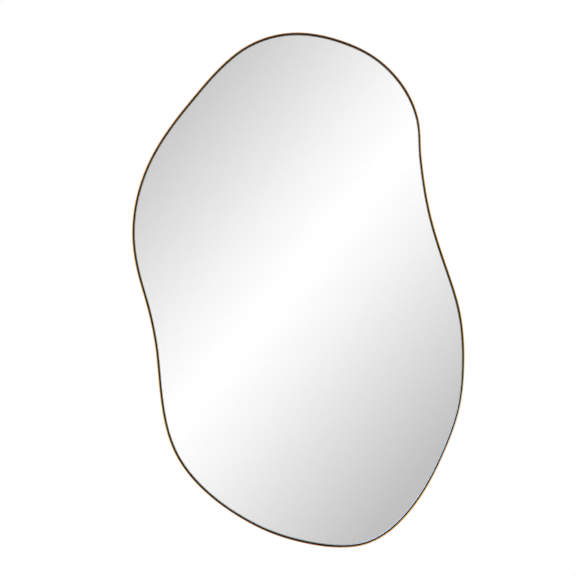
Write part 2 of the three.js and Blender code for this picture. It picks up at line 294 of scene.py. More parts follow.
def makeAgedBrass(look):  # reads the stripPlace attribute, which follows the bent bar
    material, tree, surface, place = newFinish(
        "agedBrass", Metallic=1.0, Specular_Tint=look["edgeTint"])
    strip = addStored(tree, "stripPlace")["Vector"]
    near = addStored(tree, "edgeNear")["Fac"]
    drift = useGroup(tree, toneDrift, Vector=place, Scale=9.0, Contrast=2.4)["Drift"]
    grain = useGroup(tree, drawnGrain, Vector=strip, Lines=2600.0, Run=20.0)
    marks = useGroup(tree, fineScratches, Vector=place, Scale=260.0, Width=0.008)["Mask"]
    rubbed = useGroup(tree, edgeWear, Vector=place, Near=near, Scale=160.0, Amount=0.6)["Mask"]
    spot = addNode(tree, "ShaderNodeSeparateXYZ", {0: place}).outputs
    fromSeam = addMath(tree, "ABSOLUTE", addMath(tree, "SUBTRACT", spot["X"], look["seamAt"]))
    besideSeam = addMath(tree, "LESS_THAN", fromSeam, look["seamWidth"])
    atFoot = addMath(tree, "LESS_THAN", spot["Z"], look["seamBelow"])
    seam = addMath(tree, "MULTIPLY", besideSeam, atFoot)
    # painted light: a pale sheen below the bulge on the right, and the lower right painted lit
    # where the painted shade is taken off
    paintedLights = {}
    for kind in ("paleSheen", "bare"):
        reached = addFade(tree, addDot(tree, place, look[kind + "Toward"]), *look[kind + "From"])
        paintedLights[kind] = addMath(tree, "MULTIPLY", reached, look[kind + "Share"])
    # painted shade: the inner half of the nose darkened from the outer edge inward, kept except
    # where the lower right is painted lit
    over = addNode(tree, "ShaderNodeSeparateXYZ", {0: strip}).outputs["Z"]
    shadeKept = addMath(tree, "SUBTRACT", 1.0, paintedLights["bare"])
    paintedShade = addMath(tree, "MULTIPLY", addFade(tree, over, *look["shadowFrom"]), shadeKept)
    tone = addTouch(tree, drift, look["driftShare"], look["bright"], look["dull"])
    tone = addTouch(tree, grain["Grain"], look["grainShare"], tone, look["dull"])
    tone = addBlend(tree, rubbed, tone, look["worn"])
    tone = addBlend(tree, paintedLights["paleSheen"], tone, look["paleSheen"])
    tone = addBlend(tree, paintedShade, tone, look["shadow"])
    tone = addTouch(tree, seam, look["seamShare"], tone, look["dull"])
    tree.links.new(tone, surface["Base Color"])
    rough = addMath(tree, "MULTIPLY_ADD", grain["Grain"], *look["grainRough"])
    rough = addMath(tree, "MULTIPLY_ADD", marks, look["marksRough"], rough)
    addRoughness(tree, surface, seam, look["seamRough"], rough)
    addBump(tree, surface, addMath(tree, "SUBTRACT", grain["Height"], seam), *look["bump"])
    return material


glassLook = {
    "tint": (1.0, 1.0, 0.998, 1),
    "index": 1.52,
    "shadedGrey": ((0.54, 0.54, 0.54, 1), (0.44, 0.44, 0.45, 1)),  # painted shade: the ground edge in a shaded grey, away from the sheet's foot
    "litAqua": ((0.62, 0.98, 0.98, 1), (0.54, 0.94, 0.96, 1)),  # painted light: the ground edge painted lit aqua at the sheet's foot
    "litAquaToward": (0.45, 0, -0.89),
    "litAquaFrom": (0.05, 0.45),
    "edgeRough": (0.10, 0.06),  # swing and least
}


def makeClearGlass(look):
    return newFinish("clearGlass", Base_Color=look["tint"], Roughness=0.0, IOR=look["index"],
                     Transmission_Weight=1.0)[0]


def makeGroundEdge(look):
    material, tree, surface, place = newFinish(
        "groundEdge", IOR=look["index"], Transmission_Weight=1.0)
    drift = useGroup(tree, toneDrift, Vector=place, Scale=40.0, Contrast=2.0)["Drift"]
    # painted light and shade: the edge painted lit aqua towards the sheet's foot and shaded grey
    # elsewhere
    lower = addFade(tree, addDot(tree, place, look["litAquaToward"]), *look["litAquaFrom"])
    shadedGrey, litAqua = addBlend(tree, drift, *look["shadedGrey"]), addBlend(tree, drift, *look["litAqua"])
    tree.links.new(addBlend(tree, lower, shadedGrey, litAqua), surface["Base Color"])
    grain = useGroup(tree, drawnGrain, Vector=place, Lines=300.0, Run=300.0)["Grain"]
    addRoughness(tree, surface, grain, *look["edgeRough"])
    return material


silverLook = {
    "bright": (0.962, 0.960, 0.960, 1),
    "dull": (0.956, 0.954, 0.954, 1),
}


def makeSilverCoat(look):
    material, tree, surface, place = newFinish("silverCoat", Metallic=1.0, Roughness=0.0)
    drift = useGroup(tree, toneDrift, Vector=place, Scale=3.0, Contrast=1.0)["Drift"]
    tree.links.new(addBlend(tree, drift, look["bright"], look["dull"]), surface["Base Color"])
    return material


filmLook = {
    "lay": (math.pi / 2, 0, 0.8),  # how the weave is turned
    "weave": {"Color1": (0.28, 0.33, 0.38, 1), "Color2": (0.24, 0.29, 0.34, 1),
              "Mortar": (0.38, 0.43, 0.47, 1), "Scale": 120.0, "Mortar Size": 0.04},
    "bump": (0.4, 0.05 * mm),
}


def makeSafetyFilm(look):
    material, tree, surface, place = newFinish("safetyFilm", Roughness=0.5)
    turned = addNode(tree, "ShaderNodeMapping", {"Vector": place, "Rotation": look["lay"]})
    weave = addNode(tree, "ShaderNodeTexBrick", {"Vector": turned.outputs[0], **look["weave"]})
    tree.links.new(weave.outputs["Color"], surface["Base Color"])
    addBump(tree, surface, weave.outputs["Fac"], *look["bump"])
    return material


foamLooks = {
    "foamTape": {"skin": (0.80, 0.78, 0.72, 1), "cells": (0.52, 0.50, 0.45, 1),
                 "cellSize": 0.2, "rough": 0.9},
    "blackFoam": {"skin": (0.022, 0.021, 0.020, 1), "cells": (0.008, 0.008, 0.008, 1),
                  "cellSize": 0.22, "rough": 0.95},
}
foamBump = (0.6, 0.2 * mm)


def makeFoam(name):
    look = foamLooks[name]
    material, tree, surface, place = newFinish(name, Roughness=look["rough"])
    cells = useGroup(tree, fineSkin, Vector=place, Scale=1400.0, Speck=look["cellSize"])
    tone = addBlend(tree, cells["Specks"], look["skin"], look["cells"])
    tree.links.new(tone, surface["Base Color"])
    addBump(tree, surface, cells["Height"], *foamBump)
    return material


boardLook = {
    "paint": (0.021, 0.020, 0.019, 1),
    "paintFaded": (0.034, 0.032, 0.031, 1),
    "dust": (0.16, 0.155, 0.145, 1),
    "fibre": (0.13, 0.095, 0.065, 1),  # bare fibreboard where an edge is rubbed
    "tracks": (55, 55, 2),  # left by the paint roller
    "trackShare": 0.4,
    "driftShare": 0.6,
    "speckShare": 0.10,
    "markShare": 0.20,
    "skinRough": (0.25, 0.40),  # swing and least
    "unevenRough": 0.12,
    "bump": (0.55, 0.15 * mm),
}


def makeBlackBoard(look):
    material, tree, surface, place = newFinish("blackBoard")
    near = addStored(tree, "edgeNear")["Fac"]
    skin = useGroup(tree, fineSkin, Vector=place, Scale=520.0, Speck=0.14)
    drift = useGroup(tree, toneDrift, Vector=place, Scale=5.0, Contrast=2.6)["Drift"]
    rolled = addNode(tree, "ShaderNodeMapping", {"Vector": place, "Scale": look["tracks"]})
    tracks = useGroup(tree, toneDrift, Vector=rolled.outputs[0], Scale=1.0, Contrast=1.6)["Drift"]
    marks = useGroup(tree, fineScratches, Vector=place, Scale=26.0, Width=0.004)["Mask"]
    rubbed = useGroup(tree, edgeWear, Vector=place, Near=near, Scale=240.0, Amount=0.7)["Mask"]
    clouds = addMath(tree, "MULTIPLY", drift, look["driftShare"])
    uneven = addMath(tree, "MULTIPLY_ADD", tracks, look["trackShare"], clouds)
    tone = addBlend(tree, uneven, look["paint"], look["paintFaded"])
    tone = addTouch(tree, skin["Specks"], look["speckShare"], tone, look["dust"])
    tone = addTouch(tree, marks, look["markShare"], tone, look["dust"])
    tree.links.new(addBlend(tree, rubbed, tone, look["fibre"]), surface["Base Color"])
    rough = addMath(tree, "MULTIPLY_ADD", skin["Height"], *look["skinRough"])
    addRoughness(tree, surface, uneven, look["unevenRough"], rough)
    addBump(tree, surface, skin["Height"], *look["bump"])
    return material


zincLook = {
    "bright": (0.66, 0.68, 0.70, 1),
    "dull": (0.50, 0.51, 0.52, 1),
    "spangle": (0.42, 0.44, 0.47, 1),
    "spangleShare": 0.12,
    "scratch": (0.82, 0.83, 0.84, 1),
    "scratchShare": 0.4,
    "rough": (0.18, 0.22),  # swing and least
    "bump": (0.15, 0.05 * mm),
}


def makeZincPlate(look):
    material, tree, surface, place = newFinish("zincPlate", Metallic=1.0)
    drift = useGroup(tree, toneDrift, Vector=place, Scale=120.0, Contrast=2.5)["Drift"]
    spangle = addNode(tree, "ShaderNodeTexVoronoi", {"Vector": place, "Scale": 700.0})
    marks = useGroup(tree, fineScratches, Vector=place, Scale=320.0, Width=0.010)["Mask"]
    tone = addBlend(tree, drift, look["bright"], look["dull"])
    tone = addTouch(tree, spangle.outputs["Color"], look["spangleShare"], tone, look["spangle"])
    tone = addTouch(tree, marks, look["scratchShare"], tone, look["scratch"])
    tree.links.new(tone, surface["Base Color"])
    addRoughness(tree, surface, drift, *look["rough"])
    addBump(tree, surface, drift, *look["bump"])
    return material


weldLook = {
    "bright": (0.52, 0.34, 0.15, 1),
    "burnt": (0.26, 0.18, 0.11, 1),
    "rough": (0.2, 0.32),
}


def makeWeldBead(look):
    material, tree, surface, place = newFinish("weldBead", Metallic=1.0)
    drift = useGroup(tree, toneDrift, Vector=place, Scale=400.0, Contrast=3.0)["Drift"]
    tree.links.new(addBlend(tree, drift, look["bright"], look["burnt"]), surface["Base Color"])
    addRoughness(tree, surface, drift, *look["rough"])
    return material


rubberLook = {
    "black": (0.024, 0.024, 0.026, 1),
    "faded": (0.042, 0.041, 0.042, 1),
    "speck": (0.12, 0.12, 0.115, 1),
    "speckShare": 0.25,
    "rough": (0.2, 0.6),
    "bump": (0.4, 0.08 * mm),
}


def makeBlackRubber(look):
    material, tree, surface, place = newFinish("blackRubber")
    skin = useGroup(tree, fineSkin, Vector=place, Scale=1800.0, Speck=0.12)
    drift = useGroup(tree, toneDrift, Vector=place, Scale=90.0, Contrast=2.0)["Drift"]
    tone = addBlend(tree, drift, look["black"], look["faded"])
    tone = addTouch(tree, skin["Specks"], look["speckShare"], tone, look["speck"])
    tree.links.new(tone, surface["Base Color"])
    addRoughness(tree, surface, skin["Height"], *look["rough"])
    addBump(tree, surface, skin["Height"], *look["bump"])
    return material


agedBrass = makeAgedBrass(brassLook)
clearGlass = makeClearGlass(glassLook)
groundEdge = makeGroundEdge(glassLook)
silverCoat = makeSilverCoat(silverLook)
safetyFilm = makeSafetyFilm(filmLook)
foamTape = makeFoam("foamTape")
blackFoam = makeFoam("blackFoam")
blackBoard = makeBlackBoard(boardLook)
zincPlate = makeZincPlate(zincLook)
weldBead = makeWeldBead(weldLook)
blackRubber = makeBlackRubber(rubberLook)
print("finishes made")


# Mesh helpers

meshLimits = {
    "weld": 0.001 * mm,  # points closer than this become one
    "near": 0.01 * mm,  # counts as lying on a line
    "flat": 0.9999,  # how squarely a large flat face looks along Y
    "smooth": 35,  # degrees, up to which the shading runs on over an edge
}
standUp = Matrix.Rotation(-math.pi / 2, 4, "X")  # turns a piece's own axis from Z to Y


def pointsOf(geometry):
    return [part for part in geometry if isinstance(part, bmesh.types.BMVert)]


def edgesOf(geometry):
    return [part for part in geometry if isinstance(part, bmesh.types.BMEdge)]


def runOn(body, edges, step):  # draws a line on in a straight step and gives its new end
    grown = bmesh.ops.extrude_edge_only(body, edges=edges)["geom"]
    bmesh.ops.translate(body, vec=step, verts=pointsOf(grown))
    return edgesOf(grown)


def turnOn(body, edges, centre, axis, degrees, steps):  # draws a line on round an axis
    corners = list({corner for edge in edges for corner in edge.verts})
    swept = bmesh.ops.spin(body, geom=corners + edges, cent=centre, axis=axis,
                           angle=math.radians(degrees), steps=steps)["geom_last"]
    return edgesOf(swept)


def roundOff(body, parts, size, segments, affect="EDGES"):
    bmesh.ops.bevel(body, geom=parts, offset=size, offset_type="OFFSET", segments=segments,
                    profile=0.5, affect=affect, material=-1)


def weld(body):
    bmesh.ops.remove_doubles(body, verts=body.verts, dist=meshLimits["weld"])


def isFlat(face):
    return abs(face.normal.y) > meshLimits["flat"]


def insetFace(body, face, width):
    return bmesh.ops.inset_region(body, faces=[face], thickness=width, use_boundary=True,
                                  use_even_offset=True)["faces"]


def boxMiddle(bounds):
    return (Vector(bounds[0]) + Vector(bounds[1])) / 2


def sharpEdges(body, degrees=60):
    body.normal_update()
    return [edge for edge in body.edges
            if len(edge.link_faces) == 2 and edge.calc_face_angle() > math.radians(degrees)]


def makePiece(name, body, materials, node, rides="mirror"):
    weld(body)
    bmesh.ops.recalc_face_normals(body, faces=body.faces)
    for face in body.faces:
        face.smooth = not isFlat(face)
    mesh = bpy.data.meshes.new(name)
    body.to_mesh(mesh)
    body.free()
    for material in materials:
        mesh.materials.append(material)
    mesh.set_sharp_from_angle(angle=math.radians(meshLimits["smooth"]))
    piece = bpy.data.objects.new(name, mesh)
    bpy.context.collection.objects.link(piece)
    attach(piece, rides)
    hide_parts(node)
    return piece


def markPoints(piece, label, kind, field, measure):  # one value for each point of a mesh
    attribute = piece.data.attributes.new(label, kind, "POINT")
    for point, entry in zip(piece.data.vertices, attribute.data):
        setattr(entry, field, measure(point.co))


# Outline: turning points joined by smooth spans, as in the solids

outlineShape = {
    "turns": [  # x, z in millimetres and heading in degrees, clockwise from the top
        (-2, 508, 0), (78, 494.5, -17.5), (165, 450, -39.5), (237, 339, -76.5), (243.5, 262, -84),
        (261, 152, -77), (297, 35, -71), (323, -60, -81.5), (328, -133, -90), (320, -228, -101.5),
        (292, -312, -113), (226, -430, -128), (141, -499, -159), (84, -508, 180),
        (0, -496.5, 166.5), (-90, -463, 152), (-169, -411, 140.5), (-241, -327, 118),
        (-271.5, -218, 97.5), (-280, -132, 96), (-308, -1, 107), (-328, 113, 90), (-301, 240, 67),
        (-217, 369, 50.5), (-125, 466, 38)],
    "spanSteps": 16,
}


def handleShare(turn, other):  # handle of a smooth span, as a share of its chord
    bias = (math.sin(turn) - math.sin(other) / 16) * (math.sin(other) - math.sin(turn) / 16)
    pull = math.sqrt(2) * bias * (math.cos(turn) - math.cos(other))
    root = math.sqrt(5)
    bend = 1 + ((root - 1) * math.cos(turn) + (3 - root) * math.cos(other)) / 2
    return (2 + pull) / (3 * bend)


def drawOutline(shape):
    low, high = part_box("frame_rim")
    xs, zs, headings = zip(*shape["turns"])
    scale = Vector((
        (high[0] - low[0]) / (max(xs) - min(xs)), (high[2] - low[2]) / (max(zs) - min(zs))))
    middle = Vector((max(xs) + min(xs), max(zs) + min(zs))) / 2
    curve = bpy.data.curves.new("outline", "CURVE")
    curve.resolution_u = shape["spanSteps"]
    spline = curve.splines.new("BEZIER")
    spline.bezier_points.add(len(xs) - 1)
    spline.use_cyclic_u = True
    for i, point in enumerate(spline.bezier_points):
        after = (i + 1) % len(xs)
        here, there = Vector((xs[i], zs[i])), Vector((xs[after], zs[after]))
        chord = there - here
        lean = math.atan2(chord.y, chord.x)
        start, end = math.radians(headings[i]), math.radians(headings[after])
        leave = here + chord.length * handleShare(start - lean, lean - end) * Vector(
            (math.cos(start), math.sin(start)))
        arrive = there - chord.length * handleShare(lean - end, start - lean) * Vector(
            (math.cos(end), math.sin(end)))
        point.handle_left_type = point.handle_right_type = "FREE"
        point.co = (*((here - middle) * scale), 0)
        point.handle_right = (*((leave - middle) * scale), 0)
        spline.bezier_points[after].handle_left = (*((arrive - middle) * scale), 0)
    drawing = bpy.data.objects.new("outline", curve)
    line = bpy.data.meshes.new_from_object(drawing)
    bpy.data.objects.remove(drawing)
    line.transform(Matrix.Rotation(math.pi / 2, 4, "X"))
    return line


outline = drawOutline(outlineShape)
outlinePoints = [point.co.copy() for point in outline.vertices]
outlineTree = KDTree(len(outlinePoints))
for number, spot in enumerate(outlinePoints):
    outlineTree.insert(spot, number)
outlineTree.balance()
outlineReach = [0.0]
for before, after in zip(outlinePoints, outlinePoints[1:]):
    outlineReach.append(outlineReach[-1] + (after - before).length)
outlineLength = outlineReach[-1] + (outlinePoints[0] - outlinePoints[-1]).length
print("outline drawn, %d points, %.3f m round" % (len(outlinePoints), outlineLength))


# Rim, glass and board, cut to the outline

def cutOutline(level, inset):  # one flat face at a depth, moved in from the edge
    body = bmesh.new()
    body.from_mesh(outline)
    bmesh.ops.translate(body, vec=(0, level, 0), verts=body.verts)
    face = bmesh.ops.contextual_create(body, geom=body.edges)["faces"][0]
    return body, face, insetFace(body, face, inset)


def cutPlate(node, inset, gap=0.0):
    low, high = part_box(node)
    body, face, border = cutOutline(low[1] + gap, inset)
    bmesh.ops.delete(body, geom=border, context="FACES")
    thicken(body, [face], high[1] - low[1] - gap)
    return body


def thicken(body, faces, depth):
    grown = bmesh.ops.extrude_face_region(body, geom=faces, use_keep_orig=True)["geom"]
    bmesh.ops.translate(body, vec=(0, depth, 0), verts=pointsOf(grown))
    bmesh.ops.recalc_face_normals(body, faces=body.faces)


rimForm = {
    "thickness": 2 * mm,
    "nose": 0.97 * mm,  # rounding of the front edge
    "noseSteps": 6,
    "rearEdge": 0.25 * mm,
    "rearSteps": 2,
    "support": 1.5 * mm,  # a line round the walls that keeps the nose's shading to itself
    "wornBand": 0.5 * mm,  # along the rear edge
}


def makeRim(form):
    low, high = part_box("frame_rim")
    body, face, border = cutOutline(low[1], form["thickness"])
    bmesh.ops.delete(body, geom=[face], context="FACES_ONLY")
    thicken(body, border, high[1] - low[1])
    half = (low[1] + high[1]) / 2
    front = [edge for edge in sharpEdges(body) if edge.verts[0].co.y < half]
    roundOff(body, front, form["nose"], form["noseSteps"])
    rear = [edge for edge in sharpEdges(body) if edge.verts[0].co.y > half]
    roundOff(body, rear, form["rearEdge"], form["rearSteps"])
    for level in (low[1] + form["support"], high[1] - form["support"]):
        bmesh.ops.bisect_plane(body, geom=body.verts[:] + body.edges[:] + body.faces[:],
                               plane_co=(0, level, 0), plane_no=(0, 1, 0))
    rim = makePiece("rimBar", body, [agedBrass], "frame_rim")
    radius = outlineLength / math.tau

    def stripPlace(spot):  # round a circle as long as the outline, then across the bar
        number, inset = outlineTree.find((spot.x, 0, spot.z))[1:]
        turn = math.tau * outlineReach[number] / outlineLength
        side = -1 if inset < form["thickness"] / 2 else 1
        return radius * math.cos(turn), radius * math.sin(turn), inset + side * (spot.y - low[1])

    markPoints(rim, "stripPlace", "FLOAT_VECTOR", "vector", stripPlace)
    worn = high[1] - form["wornBand"]
    markPoints(rim, "edgeNear", "FLOAT", "value", lambda spot: float(spot.y > worn))


glassForm = {
    "inset": 4.1 * mm,  # the rim and the shadow gap
    "arris": 1 * mm,
    "airGap": 0.02 * mm,  # keeps the silver off the glass's own face
}


def makeGlass(form):
    body = cutPlate("mirror_glass", form["inset"])
    roundOff(body, sharpEdges(body), form["arris"], 1)
    body.normal_update()
    for face in body.faces:
        face.material_index = int(not isFlat(face))
    makePiece("mirrorGlass", body, [clearGlass, groundEdge], "mirror_glass")
    coated = form["inset"] + form["arris"]
    body = cutPlate("silver_coat", coated, form["airGap"])
    makePiece("silverBacking", body, [silverCoat], "silver_coat")
    body = cutPlate("safety_film", coated)
    makePiece("filmSheet", body, [safetyFilm], "safety_film")


sealForm = {
    "inset": 2.05 * mm,  # just clear of the rim
    "width": 6 * mm,
    "edge": 0.3 * mm,
    "edgeSteps": 2,
}


def makeSeal(form):
    low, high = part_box("edge_seal")
    body, face, border = cutOutline(low[1], form["inset"])
    bmesh.ops.delete(body, geom=border, context="FACES")
    border = insetFace(body, face, form["width"])
    bmesh.ops.delete(body, geom=[face], context="FACES_ONLY")
    thicken(body, border, high[1] - low[1])
    roundOff(body, sharpEdges(body), form["edge"], form["edgeSteps"])
    makePiece("edgeSeal", body, [blackFoam], "edge_seal")


boardForm = {
    "inset": 2.5 * mm,
    "edge": 0.8 * mm,
    "edgeSteps": 3,
    "wornBand": 2.4 * mm,
    "wornOver": 0.1 * mm,  # past the rounding
}


def makeBoard(form):
    low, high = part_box("backing_board")
    body = cutPlate("backing_board", form["inset"])
    roundOff(body, sharpEdges(body), form["edge"], form["edgeSteps"])
    body.normal_update()
    for face in [face for face in body.faces if isFlat(face)]:
        bmesh.ops.inset_region(body, faces=[face], thickness=form["wornBand"],
                               use_even_offset=True)
    board = makePiece("backBoard", body, [blackBoard], "backing_board")
    worn = form["inset"] + form["edge"] + form["wornOver"]
    half = (low[1] + high[1]) / 2

    def edgeNear(spot):  # only the rear edge wears
        return float(spot.y > half and outlineTree.find((spot.x, 0, spot.z))[2] < worn)

    markPoints(board, "edgeNear", "FLOAT", "value", edgeNear)


makeRim(rimForm)
print("rim made")
makeGlass(glassForm)
print("glass, silver and film made")
makeSeal(sealForm)
makeBoard(boardForm)
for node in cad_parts.values():
    if node.name.startswith("mounting_tape"):
        node.material_slots[0].material = foamTape
print("board made, tapes finished")


# Screws: pan heads with a cross recess, each turned its own way

screwForm = {
    "shank": 1.5 * mm,  # radii of the thread
    "root": 1.15 * mm,
    "height": 2 * mm,  # of the head
    "head": [  # radius and height, from the recess outward and down
        (1.9 * mm, 1.96 * mm), (2.55 * mm, 1.72 * mm), (3.05 * mm, 1.33 * mm),
        (3.25 * mm, 0.9 * mm), (3.25 * mm, 0.12 * mm), (3.13 * mm, 0)],
    "neck": 0.8 * mm,  # under the head, down to the root
    "threadGap": 0.4 * mm,  # no thread just below the sheet
    "pitch": 1.2 * mm,
    "bite": 7.5 * mm,  # depth in the board
    "point": 1.6 * mm,
    "recess": (0.42 * mm, 1.45 * mm, 1.1 * mm),  # half width, reach and depth of the cross
    "recessFoot": (0.55, 0.55, 1),  # the cross narrows downward
    "steps": 24,
}
screwTurns = random.Random(7)


def drawLine(body, spots):  # a few points joined by edges
    corners = [body.verts.new(spot) for spot in spots]
    return corners + [body.edges.new(pair) for pair in zip(corners, corners[1:])]


def spinRound(body, line, steps):
    bmesh.ops.spin(body, geom=line, cent=(0, 0, 0), axis=(0, 0, 1), angle=math.tau, steps=steps,
                   use_merge=True)
    weld(body)


def makeScrew(name, node, plate, form):
    low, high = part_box(node)
    halfWidth, reach, depth = form["recess"]
    root, shank, pitch = form["root"], form["shank"], form["pitch"]
    body = bmesh.new()
    bmesh.ops.create_grid(body, x_segments=1, y_segments=1, size=halfWidth)
    for edge in body.edges[:]:
        outward = (edge.verts[0].co + edge.verts[1].co).normalized()
        runOn(body, [edge], outward * (reach - halfWidth))
    border = [edge for edge in body.edges if edge.is_boundary]
    bmesh.ops.subdivide_edges(body, edges=border, cuts=1)
    bmesh.ops.translate(body, vec=(0, 0, form["height"]), verts=body.verts)
    cross = body.faces[:]
    tip = -plate - form["bite"]
    line = [*form["head"], (shank, 0), (root, -form["neck"])]
    level = -plate - form["threadGap"]
    while level - pitch > tip + form["point"]:
        line += [(root, level), (shank, level - pitch / 2)]
        level -= pitch
    line += [(root, tip + form["point"]), (0, tip)]
    spinRound(body, drawLine(body, [(x, 0, z) for x, z in line]), form["steps"])
    bmesh.ops.bridge_loops(body, edges=[edge for edge in body.edges if edge.is_boundary])
    sunk = pointsOf(bmesh.ops.extrude_face_region(body, geom=cross, use_keep_orig=True)["geom"])
    bmesh.ops.delete(body, geom=cross, context="FACES")
    bmesh.ops.translate(body, vec=(0, 0, -depth), verts=sunk)
    bmesh.ops.scale(body, vec=form["recessFoot"], verts=sunk)
    turn = Matrix.Rotation(screwTurns.uniform(0, math.tau), 4, "Y")
    spot = boxMiddle((low, high))
    spot.y = high[1] - form["height"]
    bmesh.ops.transform(body, matrix=Matrix.Translation(spot) @ turn @ standUp, verts=body.verts)
    makePiece(name, body, [zincPlate], node)


# Lugs, bent from strip, welded inside the rim and screwed to the board

lugForm = {
    "count": 8,
    "foot": 16 * mm,  # reach over the board
    "width": 20 * mm,
    "sheet": 1.5 * mm,
    "bend": 2.2 * mm,
    "bendSteps": 6,
    "corner": 3.5 * mm,
    "cornerSteps": 5,
    "edge": 0.2 * mm,
    "edgeSteps": 2,
    "bead": 0.8 * mm,
    "beadSizes": (0.86, 1.0),  # shares of the full bead
    "beadSink": 0.1 * mm,
    "beadPitch": 0.75 * mm,
    "beadRuns": (-8.6 * mm, 3.4 * mm),  # where each weld starts across the lug
    "beadsInRun": 8,
}


def cutSheet(body, ends, form):  # rounds the corners of a bent strip and gives it its thickness
    roundOff(body, ends, form["corner"], form["cornerSteps"], "VERTICES")
    bmesh.ops.solidify(body, geom=body.faces[:], thickness=-form["sheet"])
    bmesh.ops.recalc_face_normals(body, faces=body.faces)
    roundOff(body, sharpEdges(body), form["edge"], form["edgeSteps"])


def makeLug(number, form):
    node, screw = "panel_lug_%d" % number, "lug_screw_%d" % number
    low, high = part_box(node)
    middle = boxMiddle((low, high))
    outward = middle - boxMiddle(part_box(screw))
    outward.y = 0
    outward.normalize()
    leg = middle + outward * form["foot"] / 2
    leg.y = low[1]
    across = (-outward).cross(Vector((0, 1, 0)))
    place = Matrix.Translation(leg) @ Matrix((-outward, (0, 1, 0), across)).transposed().to_4x4()
    height = high[1] - low[1]
    half = form["width"] / 2
    body = bmesh.new()
    line = edgesOf(drawLine(body, [(form["foot"], 0, -half), (form["foot"], 0, half)]))
    line = runOn(body, line, (form["bend"] - form["foot"], 0, 0))
    centre = (form["bend"], form["bend"], 0)
    line = turnOn(body, line, centre, (0, 0, 1), -90, form["bendSteps"])
    runOn(body, line, (0, height - form["bend"], 0))
    weld(body)
    toes = [corner for corner in body.verts if corner.co.x > form["foot"] - meshLimits["near"]]
    cutSheet(body, toes, form)
    sizes = random.Random(number)
    for start in form["beadRuns"]:
        for i in range(form["beadsInRun"]):
            along = start + i * form["beadPitch"]
            spot = Matrix.Translation((-form["beadSink"], height - form["beadSink"], along))
            radius = form["bead"] * sizes.uniform(*form["beadSizes"])
            drop = bmesh.ops.create_icosphere(body, subdivisions=2, radius=radius, matrix=spot)
            for face in {face for corner in drop["verts"] for face in corner.link_faces}:
                face.material_index = 1
    bmesh.ops.transform(body, matrix=place, verts=body.verts)
    lug = makePiece("panelLug%d" % number, body, [agedBrass, weldBead], node)
    clear = Matrix.Translation((0, 0, -form["width"]))  # off the side where the painted shade would start
    back = clear @ place.inverted()
    markPoints(lug, "stripPlace", "FLOAT_VECTOR", "vector", lambda spot: back @ spot)


for number in range(1, lugForm["count"] + 1):
    makeLug(number, lugForm)
    makeScrew("lugScrew%d" % number, "lug_screw_%d" % number, lugForm["sheet"], screwForm)
print("lugs and their screws made")


# Hangers: a strap folded round the bar of a D-ring

strapForm = {
    "sheet": 1 * mm,
    "eye": 2.7 * mm,  # outer radius of the eye
    "length": 31 * mm,  # below the ring's pivot
    "eyeSteps": 36,
    "tuck": 0.5 * mm,  # radius where the fold closes under the eye
    "tuckSteps": 8,
    "corner": 5 * mm,
    "cornerSteps": 6,
    "edge": 0.15 * mm,
    "edgeSteps": 2,
}

ringForm = {
    "wire": 1.5 * mm,  # radius
    "half": 11.5 * mm,  # to the middle of the wire
    "corner": 3 * mm,
    "cornerSteps": 6,
    "bowSteps": 24,
    "reach": 17 * mm,  # pivot to the bow
    "rest": 0.9 * mm,  # how far the bow leans to the board
    "facets": 16,
}


def hangerPivot(strap, form):
    low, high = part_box(strap)
    return Vector(((low[0] + high[0]) / 2, low[1] + form["eye"], low[2] + form["length"]))


def makeStrap(name, node, form):
    low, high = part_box(node)
    pivot = hangerPivot(node, form)
    body = bmesh.new()
    line = edgesOf(drawLine(body, [(low[0], low[1], low[2]), (high[0], low[1], low[2])]))
    line = runOn(body, line, (0, 0, form["length"]))
    gap = form["eye"] + form["tuck"]
    over = 90 + math.degrees(math.asin((form["eye"] - form["tuck"] - 2 * form["sheet"]) / gap))
    line = turnOn(body, line, pivot, (1, 0, 0), -180 - over, form["eyeSteps"])
    lean = math.radians(-over)
    tuck = pivot + Vector((0, math.cos(lean), math.sin(lean))) * gap
    line = turnOn(body, line, tuck, (1, 0, 0), over, form["tuckSteps"])
    runOn(body, line, (0, 0, low[2] - tuck.z))
    weld(body)
    ends = [corner for corner in body.verts if corner.co.z < low[2] + meshLimits["near"]]
    cutSheet(body, ends, form)
    makePiece(name, body, [zincPlate], node)


def makeRing(name, node, strap, rides, form):
    body = bmesh.new()
    facing = Matrix.Rotation(math.pi / 2, 4, "Y")
    section = bmesh.ops.create_circle(body, cap_ends=False, segments=form["facets"],
                                      radius=form["wire"], matrix=facing)["verts"]
    line = list({edge for point in section for edge in point.link_edges})
    half, corner, steps = form["half"], form["corner"], form["cornerSteps"]
    bow = form["reach"] - half
    line = runOn(body, line, (half - corner, 0, 0))
    line = turnOn(body, line, (half - corner, 0, corner), (0, 1, 0), -90, steps)
    line = runOn(body, line, (0, 0, bow - corner))
    line = turnOn(body, line, (0, 0, bow), (0, 1, 0), -180, form["bowSteps"])
    line = runOn(body, line, (0, 0, corner - bow))
    line = turnOn(body, line, (corner - half, 0, corner), (0, 1, 0), -90, steps)
    runOn(body, line, (half - corner, 0, 0))
    lean = math.asin(form["rest"] / form["reach"])
    place = Matrix.Translation(hangerPivot(strap, strapForm)) @ Matrix.Rotation(lean, 4, "X")
    bmesh.ops.transform(body, matrix=place, verts=body.verts)
    makePiece(name, body, [zincPlate], node, rides)


for side in ("left", "right"):
    strap, suffix = "hanger_strap_" + side, side.title()
    makeStrap("hangerStrap" + suffix, strap, strapForm)
    makeRing("hangerRing" + suffix, "hanger_ring_" + side, strap, "ring_" + side, ringForm)
    for level in ("upper", "lower"):
        screw = "hanger_screw_%s_%s" % (side, level)
        makeScrew("hangerScrew" + suffix + level.title(), screw, 2 * strapForm["sheet"], screwForm)
print("hangers made")


# Rubber bumpers between the board and the wall

